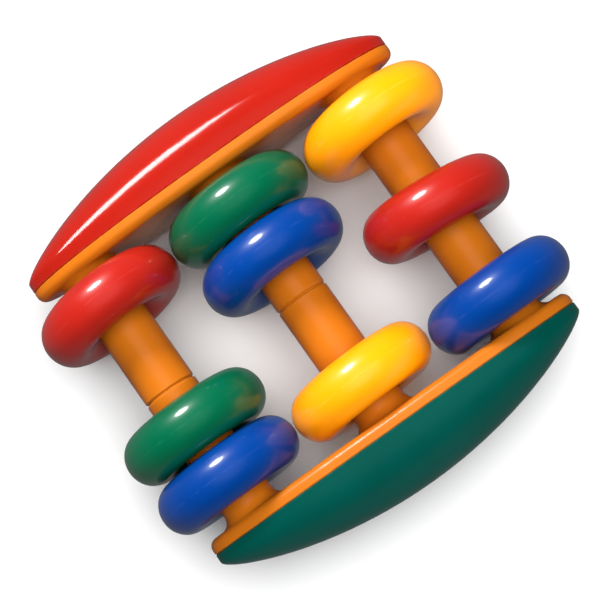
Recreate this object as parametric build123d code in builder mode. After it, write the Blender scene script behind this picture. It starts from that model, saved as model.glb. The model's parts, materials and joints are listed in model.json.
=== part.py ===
from build123d import *

import os
from math import sqrt

# A baby rattle of the abacus kind: a frame of three posts between two end plates, nine loose
# rings on the posts, and a hollow dome over each end plate.
#
# +Z is up and the rattle lies flat on its rings.  X runs along the domes, Y along the posts,
# with the red dome at +Y and the green dome at -Y.  The origin is on the ground under the
# middle.  Dimensions are in millimetres.

# ---------------------------------------------------------------- rings
RING_DIAMETER = 44.5
RING_THICKNESS = 15.3
RING_WALL = 1.8
RING_CLEARANCE = 0.5
WELD_LAP = 1.0
WELD_GAP = 0.05

# ---------------------------------------------------------------- posts
POST_PITCH = 44.8
POST_DIAMETER = 15.8
POST_WALL = 2.0
POST_ROOT_FILLET = 3.0
JOINT_CHAMFER = 0.6
SPIGOT_LENGTH = 9.0
SPIGOT_WALL = 1.6
SPIGOT_GAP = 0.05
SPIGOT_ROOT = 5.0
SPIGOT_LEAD_IN = 0.5

# ---------------------------------------------------------------- end plates and domes
SEAM_Y = 44.5
PLATE_THICKNESS = 3.9
PLATE_EDGE_FILLET = 2.5
PARTING_CHAMFER = 0.3
END_HALF_LENGTH = 60.5
END_HALF_WIDTH = 15.7
DOME_HEIGHT = 15.5
SKIRT_HEIGHT = 2.5
DOME_WALL = 2.0
RIM_HEIGHT = 1.8
RIM_THICKNESS = 1.2
RIM_GAP = 0.15

# Each quarter of an outline is one cubic curve from the middle to the tip.  SHOULDER is how far
# along the length its first handle reaches.  The tip fullness is how blunt the tip is, as a
# share of the full width or height.
SHOULDER = 0.58
PLAN_TIP_FULLNESS = 0.62
SIDE_TIP_FULLNESS = 0.17

# Rings: post, colour, distance along the post, and the small tilts about X and Z (degrees)
# at which each loose ring rests.
RINGS = [
    ("left", "red", 29.1, -2.6, 4.0),
    ("left", "green", -12.1, -0.9, 1.1),
    ("left", "blue", -28.5, -0.6, 1.4),
    ("middle", "green", 30.6, -0.3, 1.2),
    ("middle", "blue", 13.9, -3.4, 1.0),
    ("middle", "yellow", -28.7, -1.9, 2.0),
    ("right", "yellow", 28.8, -2.9, 0.7),
    ("right", "red", -1.5, 0.1, -5.3),
    ("right", "blue", -31.1, -0.8, 0.6),
]

# ---------------------------------------------------------------- derived
POST_RADIUS = POST_DIAMETER / 2
POST_BORE_RADIUS = POST_RADIUS - POST_WALL
SPIGOT_RADIUS = POST_BORE_RADIUS - SPIGOT_GAP
RING_RADIUS = RING_DIAMETER / 2
BORE_RADIUS = POST_RADIUS + RING_CLEARANCE
SECTION_RADIAL = (RING_RADIUS - BORE_RADIUS) / 2
SECTION_AXIAL = RING_THICKNESS / 2
SECTION_CENTRE = (RING_RADIUS + BORE_RADIUS) / 2
STEP_OUTER = RING_RADIUS - RING_WALL / 2
STEP_INNER = BORE_RADIUS + RING_WALL / 2
AXIS_Z = RING_RADIUS
PLATE_INNER_Y = SEAM_Y - PLATE_THICKNESS
POST_X = {"left": -POST_PITCH, "middle": 0.0, "right": POST_PITCH}

os.makedirs("parts", exist_ok=True)


def save(builder, label):
    """Label a finished piece and write its STEP file."""
    builder.part.label = label
    export_step(builder.part, f"parts/{label}.step")


def across(y):
    """Plane square to the posts at a distance y, facing +Y, with its origin on the post axes."""
    return Plane(origin=(0, y, AXIS_Z), x_dir=(-1, 0, 0), z_dir=(0, 1, 0))


def end_outline(inset):
    """Plan outline of the end plates and domes, drawn a constant inset inside the full size."""
    length = END_HALF_LENGTH - inset
    width = END_HALF_WIDTH - inset
    with BuildSketch() as outline:
        with BuildLine():
            quarter = Bezier(
                (0, width),
                (SHOULDER * length, width),
                (length, PLAN_TIP_FULLNESS * width),
                (length, 0),
            )
            half = mirror(quarter, about=Plane.YZ)
            mirror(quarter, about=Plane.XZ)
            mirror(half, about=Plane.XZ)
        make_face()
    return outline.sketch


def dome_quarter(inset, x_side, z_side):
    """A quarter of the dome: half-ellipse sections that shrink along X to a rounded tip."""
    length = END_HALF_LENGTH - inset
    width = END_HALF_WIDTH - inset
    height = DOME_HEIGHT - inset
    stations = [0, SHOULDER * length, length, length]
    widths = [width, width, PLAN_TIP_FULLNESS * width, 0]
    heights = [height, height, SIDE_TIP_FULLNESS * height, 0]
    base = SEAM_Y + SKIRT_HEIGHT
    rows = []
    for x, w, h in zip(stations, widths, heights):
        rows.append(
            [
                (x_side * x, base, AXIS_Z + z_side * w),
                (x_side * x, base + h, AXIS_Z + z_side * w),
                (x_side * x, base + h, AXIS_Z),
            ]
        )
    weights = [[1, sqrt(0.5), 1]] * 4
    return Face.make_bezier_surface(rows, weights)


def dome_body(inset, reach):
    """Solid dome at the red end, with a straight skirt that reaches down past the dome's base."""
    base = SEAM_Y + SKIRT_HEIGHT
    outline = across(base) * end_outline(inset)
    patches = [dome_quarter(inset, x_side, z_side) for x_side in (1, -1) for z_side in (1, -1)]
    cap = Solid(Shell([*patches, *outline.faces()]))
    with BuildPart() as body:
        add(cap)
        with BuildSketch(across(base)):
            add(end_outline(inset))
        extrude(amount=-reach)
    return body.part


# ---------------------------------------------------------------- end frames
def post_circles(radius):
    """One circle on each post axis, in a sketch square to the posts."""
    with Locations(*[(-x, 0) for x in POST_X.values()]):
        Circle(radius)


def end_frame(spigots):
    """The red end's half of the post frame: plate, locating rim and three hollow half-posts."""
    with BuildPart() as frame:
        with BuildSketch(across(SEAM_Y)):
            add(end_outline(0))
        extrude(amount=-PLATE_THICKNESS)
        fillet(frame.edges().group_by(Axis.Y)[0], PLATE_EDGE_FILLET)
        chamfer(frame.edges().group_by(Axis.Y)[-1], PARTING_CHAMFER)

        with BuildSketch(across(0)):
            post_circles(POST_RADIUS)
        extrude(amount=PLATE_INNER_Y)
        circles = frame.edges().filter_by(GeomType.CIRCLE)
        roots = circles.filter_by_position(Axis.Y, PLATE_INNER_Y - 0.1, PLATE_INNER_Y + 0.1)
        fillet(roots, POST_ROOT_FILLET)
        chamfer(frame.edges().group_by(Axis.Y)[0], JOINT_CHAMFER)

        with BuildSketch(across(SEAM_Y)):
            add(end_outline(DOME_WALL + RIM_GAP))
            add(end_outline(DOME_WALL + RIM_GAP + RIM_THICKNESS), mode=Mode.SUBTRACT)
        extrude(amount=RIM_HEIGHT)

        with BuildSketch(across(0)):
            post_circles(POST_BORE_RADIUS)
        extrude(amount=SEAM_Y, mode=Mode.SUBTRACT)

        if spigots:
            with BuildSketch(across(0)):
                post_circles(POST_BORE_RADIUS)
            extrude(amount=SPIGOT_ROOT)
            with BuildSketch(across(-SPIGOT_LENGTH)):
                post_circles(SPIGOT_RADIUS)
            extrude(amount=SPIGOT_LENGTH)
            chamfer(frame.edges().group_by(Axis.Y)[0], SPIGOT_LEAD_IN)
            with BuildSketch(across(-SPIGOT_LENGTH)):
                post_circles(SPIGOT_RADIUS - SPIGOT_WALL)
            extrude(amount=SPIGOT_LENGTH + SPIGOT_ROOT, mode=Mode.SUBTRACT)
    return frame.part


red_half = end_frame(spigots=False)
green_half = Rot(0, 0, 180) * end_frame(spigots=True)

with BuildPart() as red_end_frame:
    add(red_half)
save(red_end_frame, "red_end_frame")

with BuildPart() as green_end_frame:
    add(green_half)
save(green_end_frame, "green_end_frame")


# ---------------------------------------------------------------- end domes
def end_dome():
    """Hollow dome over the red end's plate, open towards the plate."""
    outside = dome_body(0, SKIRT_HEIGHT)
    hollow = dome_body(DOME_WALL, SKIRT_HEIGHT + DOME_WALL)
    with BuildPart() as dome:
        add(outside)
        add(hollow, mode=Mode.SUBTRACT)
        rim = dome.faces().sort_by(Axis.Y)[0]
        chamfer(rim.outer_wire().edges(), PARTING_CHAMFER)
    return dome.part


red_dome_shape = end_dome()
green_dome_shape = Rot(0, 0, 180) * red_dome_shape

with BuildPart() as red_end_dome:
    add(red_dome_shape)
save(red_end_dome, "red_end_dome")

with BuildPart() as green_end_dome:
    add(green_dome_shape)
save(green_end_dome, "green_end_dome")


# ---------------------------------------------------------------- rings
def wall_step(start, end, depth, mode):
    """Rectangle in a ring's section, from one radius to another, depth below mid-thickness."""
    with Locations(((start + end) / 2, 0)):
        Rectangle(end - start, depth, align=(Align.CENTER, Align.MAX), mode=mode)


def ring_half(centre, tilt_x, tilt_z, upper):
    """Half of a hollow ring, cut at mid-thickness where the two halves are welded.

    The upper half, nearer the red end, has a tongue along each wall; the lower half has the
    matching step.
    """
    section = Plane(Location(centre, (tilt_x, 0, tilt_z)))
    far_side = Align.MAX if upper else Align.MIN
    with BuildPart() as half:
        with BuildSketch(section):
            with Locations((SECTION_CENTRE, 0)):
                Ellipse(SECTION_RADIAL, SECTION_AXIAL)
                Ellipse(SECTION_RADIAL - RING_WALL, SECTION_AXIAL - RING_WALL, mode=Mode.SUBTRACT)
                Rectangle(
                    RING_DIAMETER,
                    RING_THICKNESS,
                    align=(Align.CENTER, far_side),
                    mode=Mode.SUBTRACT,
                )
            if upper:
                wall_step(RING_RADIUS - RING_WALL, STEP_OUTER - WELD_GAP, WELD_LAP, Mode.ADD)
                wall_step(STEP_INNER + WELD_GAP, BORE_RADIUS + RING_WALL, WELD_LAP, Mode.ADD)
            else:
                depth = WELD_LAP + WELD_GAP
                wall_step(SECTION_CENTRE, STEP_OUTER, depth, Mode.SUBTRACT)
                wall_step(STEP_INNER, SECTION_CENTRE, depth, Mode.SUBTRACT)
        revolve(axis=Axis(section.origin, section.y_dir))
    return half


for post, colour, along, tilt_x, tilt_z in RINGS:
    centre = (POST_X[post], along, AXIS_Z)
    for side in ("upper", "lower"):
        half = ring_half(centre, tilt_x, tilt_z, upper=side == "upper")
        save(half, f"{post}_{colour}_ring_{side}_half")
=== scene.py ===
import json
from math import radians

import bpy
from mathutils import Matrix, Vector


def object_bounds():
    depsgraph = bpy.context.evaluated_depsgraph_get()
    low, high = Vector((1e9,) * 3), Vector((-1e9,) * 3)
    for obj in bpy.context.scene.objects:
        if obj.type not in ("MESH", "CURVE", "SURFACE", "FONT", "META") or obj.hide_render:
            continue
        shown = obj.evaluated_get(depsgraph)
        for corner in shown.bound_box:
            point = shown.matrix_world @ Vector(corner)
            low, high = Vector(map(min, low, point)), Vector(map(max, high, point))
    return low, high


# A baby rattle of the abacus kind, lying flat on white paper: every visible piece is a CAD
# node, and this script adds its plastics, the paper, the lights and the camera.
#
# Same frame as the CAD, in metres: +Z up, X along the domes, Y along the posts with the red
# dome at +Y, and the origin on the paper under the middle.

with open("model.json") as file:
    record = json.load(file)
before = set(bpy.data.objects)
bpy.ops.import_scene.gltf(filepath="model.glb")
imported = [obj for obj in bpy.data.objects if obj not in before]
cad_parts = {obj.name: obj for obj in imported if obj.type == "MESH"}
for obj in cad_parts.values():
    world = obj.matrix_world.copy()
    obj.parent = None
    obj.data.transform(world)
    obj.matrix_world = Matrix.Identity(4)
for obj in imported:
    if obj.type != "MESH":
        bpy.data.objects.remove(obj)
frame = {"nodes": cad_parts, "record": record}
cad_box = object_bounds()
scene = bpy.context.scene
scene.view_settings.view_transform = "Standard"

MM = 0.001

# ---------------------------------------------------------------- camera
camera_data = bpy.data.cameras.new("camera")
camera_data.lens = 105.94
camera_data.sensor_width = 36.0
camera_data.shift_x = -0.0037
camera_data.shift_y = 0.0490
camera_data.clip_start = 0.01
camera_data.clip_end = 20.0
camera = bpy.data.objects.new("camera", camera_data)
camera.location = (-3.06 * MM, -54.46 * MM, 511.16 * MM)
camera.rotation_euler = (radians(4.379), radians(3.370), radians(-35.228))
scene.collection.objects.link(camera)
scene.camera = camera

# ---------------------------------------------------------------- what each light reaches
toy = bpy.data.collections.new("toy")
domes = bpy.data.collections.new("domes")
rings_and_frame = bpy.data.collections.new("rings_and_frame")
yellows = bpy.data.collections.new("yellows")
stage = bpy.data.collections.new("stage")
for name, piece in frame["nodes"].items():
    toy.objects.link(piece)
    if name.endswith("_dome"):
        domes.objects.link(piece)
    else:
        rings_and_frame.objects.link(piece)
    if "yellow" in name:
        yellows.objects.link(piece)

# ---------------------------------------------------------------- lights
TOY_MIDDLE = (cad_box[0] + cad_box[1]) / 2
KEY_PLACE = (-0.054, 0.570, 0.470)
STREAK_PLACE = (-0.19, 0.570, 0.470)
FLOOR_LIGHT_AIM = (-0.10, -0.10, -0.62)


def softbox(name, place, size, watts, reaches, mirrored=True):
    """Elliptical softbox aimed at the toy's middle; size is its level width and its height.

    It lights one collection only. One that isn't mirrored leaves no highlight there.
    """
    data = bpy.data.lights.new(name, "AREA")
    data.shape = "ELLIPSE"
    data.size, data.size_y = size
    data.energy = watts
    light = bpy.data.objects.new(name, data)
    light.location = place
    aim = TOY_MIDDLE - Vector(place)
    light.rotation_euler = aim.to_track_quat("-Z", "Y").to_euler()
    light.light_linking.receiver_collection = reaches
    light.visible_glossy = mirrored
    scene.collection.objects.link(light)
    return light


# The key is split in two: on the domes it only shades, and their one highlight is the streak.
softbox("key", KEY_PLACE, size=(0.24, 0.21), watts=7.5, reaches=rings_and_frame)
softbox("dome_key", KEY_PLACE, size=(0.24, 0.14), watts=7.0, reaches=domes, mirrored=False)
streak = softbox("dome_strip", STREAK_PLACE, size=(0.66, 0.15), watts=5.5, reaches=domes)
streak.visible_diffuse = False
softbox("fill", (0.10, -0.05, 0.90), size=(0.90, 0.90), watts=14.0, reaches=toy, mirrored=False)

# Low side lights lift the outer flanks of the domes and the ends of the yellow rings.
softbox("red_side", (0.10, 0.75, 0.13), size=(1.20, 0.26), watts=1.5, reaches=domes, mirrored=False)
softbox("green_side", (0.0, -0.75, 0.10), size=(1.20, 0.30), watts=2.5, reaches=domes, mirrored=False)
softbox("yellow_side", (0.45, -0.45, 0.12), size=(0.60, 0.30), watts=1.8, reaches=yellows, mirrored=False)

# A sun as wide as a large softbox lights the paper evenly, with soft shadows.
floor_sun = bpy.data.lights.new("floor_light", "SUN")
floor_sun.angle = radians(80.0)
floor_sun.energy = 4.9
floor_light = bpy.data.objects.new("floor_light", floor_sun)
floor_light.rotation_euler = Vector(FLOOR_LIGHT_AIM).to_track_quat("-Z", "Y").to_euler()
floor_light.light_linking.receiver_collection = stage
floor_light.visible_glossy = False
scene.collection.objects.link(floor_light)


# ---------------------------------------------------------------- node helpers
def node(tree, kind, **inputs):
    """Adds a node and sets its named input values; underscores in names stand for spaces."""
    made = tree.nodes.new(kind)
    for name, value in inputs.items():
        made.inputs[name.replace("_", " ")].default_value = value
    return made


def ramp(tree, factor, low, high, start, end):
    """Maps a value from low..high to start..end, clamped."""
    made = node(
        tree, "ShaderNodeMapRange", From_Min=low, From_Max=high, To_Min=start, To_Max=end
    )
    tree.links.new(factor, made.inputs["Value"])
    return made.outputs["Result"]


def noise(tree, vector, scale, detail):
    """Noise from 0 to 1, with scale in cells per metre."""
    made = node(tree, "ShaderNodeTexNoise", Scale=scale, Detail=detail, Roughness=0.55)
    tree.links.new(vector, made.inputs["Vector"])
    return made.outputs["Fac"]


def combine(tree, operation, first, second):
    """Adds, subtracts or multiplies two values, each a socket or a number."""
    made = tree.nodes.new("ShaderNodeMath")
    made.operation = operation
    for slot, value in zip(made.inputs, (first, second)):
        if isinstance(value, (int, float)):
            slot.default_value = value
        else:
            tree.links.new(value, slot)
    return made.outputs["Value"]


def set_or_link(tree, value, slot):
    """Gives a colour slot a plain colour or the output of another node."""
    if isinstance(value, tuple):
        slot.default_value = (*value, 1.0)
    else:
        tree.links.new(value, slot)


def blend(tree, factor, first, second):
    """Blends from a first colour to a second one as the factor rises from 0 to 1."""
    made = tree.nodes.new("ShaderNodeMix")
    made.data_type = "RGBA"
    tree.links.new(factor, made.inputs["Factor"])
    set_or_link(tree, first, made.inputs["A"])
    set_or_link(tree, second, made.inputs["B"])
    return made.outputs["Result"]


# ---------------------------------------------------------------- studio surround
# White surroundings, nearly dark overhead and brighter from low down.
OVERHEAD_GLOW = 0.02
LOW_GLOW = 0.22

world = bpy.data.worlds.new("studio")
scene.world = world
world.use_nodes = True
sky = world.node_tree
split = sky.nodes.new("ShaderNodeSeparateXYZ")
sky.links.new(sky.nodes.new("ShaderNodeTexCoord").outputs["Generated"], split.inputs["Vector"])
glow = ramp(sky, split.outputs["Z"], 0.5, -0.3, OVERHEAD_GLOW, LOW_GLOW)
background = sky.nodes["Background"]
background.inputs["Color"].default_value = (1.0, 1.0, 1.0, 1.0)
sky.links.new(glow, background.inputs["Strength"])

# ---------------------------------------------------------------- plastics
# Noise scales are in cells per metre.
SWIRL_SCALE = 55.0
DEEP_SHADE = 0.90
EDGE_RADIUS = 0.45 * MM
RUB_SCALE = 420.0
MOST_WORN = 0.7
MATT_SCALE = 140.0
WORN_MATT = 0.2
HAIRLINE_SCALE = 260.0
HAIRLINE_STRETCH = (1.0, 14.0, 1.0)
HAIRLINE_TURN = (0.3, 0.2, 0.5)
HAIRLINE_MATT = 0.05
HAIRLINE_DEPTH = 0.25
PEEL_SCALE = 700.0
PEEL_HEIGHT = 0.02 * MM
PEEL_STRENGTH = 0.25


def plastic(name, colour, worn, roughness=0.33, coat_roughness=0.09, coat=0.40, base_gloss=0.28):
    """Polished moulded plastic: faint swirl in the colour, orange peel, hairlines, worn edges."""
    material = bpy.data.materials.new(name)
    material.use_nodes = True
    tree = material.node_tree
    shader = tree.nodes["Principled BSDF"]
    where = tree.nodes.new("ShaderNodeTexCoord").outputs["Object"]

    deep = tuple(DEEP_SHADE * channel for channel in colour)
    swirl = ramp(tree, noise(tree, where, SWIRL_SCALE, 3.0), 0.3, 0.7, 0.0, 1.0)
    body = blend(tree, swirl, deep, colour)

    # Wear lies where a rounded copy of the surface turns away from the real one.
    rounded = node(tree, "ShaderNodeBevel", Radius=EDGE_RADIUS)
    rounded.samples = 4
    sharp = tree.nodes.new("ShaderNodeNewGeometry")
    agreement = tree.nodes.new("ShaderNodeVectorMath")
    agreement.operation = "DOT_PRODUCT"
    tree.links.new(rounded.outputs["Normal"], agreement.inputs[0])
    tree.links.new(sharp.outputs["Normal"], agreement.inputs[1])
    edge = ramp(tree, agreement.outputs["Value"], 0.995, 0.93, 0.0, 1.0)
    rubbed = ramp(tree, noise(tree, where, RUB_SCALE, 2.0), 0.42, 0.62, 0.0, MOST_WORN)
    wear = combine(tree, "MULTIPLY", edge, rubbed)
    tree.links.new(blend(tree, wear, body, worn), shader.inputs["Base Color"])

    stretch = node(tree, "ShaderNodeMapping", Scale=HAIRLINE_STRETCH, Rotation=HAIRLINE_TURN)
    tree.links.new(where, stretch.inputs["Vector"])
    streaks = noise(tree, stretch.outputs["Vector"], HAIRLINE_SCALE, 1.0)
    hairlines = ramp(tree, streaks, 0.66, 0.74, 0.0, 1.0)
    matt_noise = noise(tree, where, MATT_SCALE, 4.0)
    matt = ramp(tree, matt_noise, 0.3, 0.7, roughness - 0.04, roughness + 0.05)
    scuffed = combine(tree, "ADD", matt, combine(tree, "MULTIPLY", hairlines, HAIRLINE_MATT))
    worn_matt = combine(tree, "ADD", scuffed, combine(tree, "MULTIPLY", wear, WORN_MATT))
    tree.links.new(worn_matt, shader.inputs["Roughness"])

    shader.inputs["Specular IOR Level"].default_value = base_gloss
    shader.inputs["Coat Weight"].default_value = coat
    shader.inputs["Coat Roughness"].default_value = coat_roughness

    peel = noise(tree, where, PEEL_SCALE, 2.0)
    scratches = combine(tree, "MULTIPLY", hairlines, HAIRLINE_DEPTH)
    height = combine(tree, "SUBTRACT", peel, scratches)
    bump = node(tree, "ShaderNodeBump", Strength=PEEL_STRENGTH, Distance=PEEL_HEIGHT)
    tree.links.new(height, bump.inputs["Height"])
    tree.links.new(bump.outputs["Normal"], shader.inputs["Normal"])
    return material


# The frame is duller than the rings.  The domes shine nearly only by their clear coat, the red
# one most.
DOME_SKIN = {"roughness": 0.45, "coat_roughness": 0.12}
RED_DOME_SKIN = {**DOME_SKIN, "coat": 1.0, "base_gloss": 0.0}
GREEN_DOME_SKIN = {**DOME_SKIN, "coat": 0.45, "base_gloss": 0.05}
FRAME_SKIN = {"coat": 0.10, "base_gloss": 0.20}

# Per material slot: the colour, the paler colour where it is worn, and the skin where it differs.
PLASTICS = {
    "red_dome": ((0.32, 0.010, 0.005), (0.38, 0.045, 0.03), RED_DOME_SKIN),
    "green_dome": ((0.0, 0.056, 0.044), (0.015, 0.10, 0.08), GREEN_DOME_SKIN),
    "amber_frame": ((0.47, 0.124, 0.006), (0.58, 0.21, 0.04), FRAME_SKIN),
    "red_ring": ((0.36, 0.012, 0.007), (0.39, 0.03, 0.02), {}),
    "green_ring": ((0.0, 0.095, 0.041), (0.01, 0.12, 0.06), {}),
    "blue_ring": ((0.0, 0.037, 0.220), (0.02, 0.055, 0.25), {}),
    "yellow_ring": ((1.0, 0.325, 0.002), (1.0, 0.38, 0.03), {}),
}
MATERIALS = {
    slot: plastic(f"{slot}_plastic", colour, worn, **skin)
    for slot, (colour, worn, skin) in PLASTICS.items()
}
SLOT_OF = {part["node"]: part["material_slot"] for part in frame["record"]["subparts"]}
for name, piece in frame["nodes"].items():
    for material_slot in piece.material_slots:
        material_slot.material = MATERIALS[SLOT_OF[name]]

# ---------------------------------------------------------------- floor
FLOOR_HALF = 4.0

paper = bpy.data.materials.new("white_paper")
paper.use_nodes = True
paper_shader = paper.node_tree.nodes["Principled BSDF"]
paper_shader.inputs["Base Color"].default_value = (0.9, 0.9, 0.9, 1.0)
paper_shader.inputs["Roughness"].default_value = 0.9

floor_mesh = bpy.data.meshes.new("floor")
corners = [
    (-FLOOR_HALF, -FLOOR_HALF, 0),
    (FLOOR_HALF, -FLOOR_HALF, 0),
    (FLOOR_HALF, FLOOR_HALF, 0),
    (-FLOOR_HALF, FLOOR_HALF, 0),
]
floor_mesh.from_pydata(corners, [], [(0, 1, 2, 3)])
floor_mesh.materials.append(paper)
floor = bpy.data.objects.new("floor", floor_mesh)
scene.collection.objects.link(floor)
stage.objects.link(floor)
floor.visible_diffuse = False
floor.visible_glossy = False
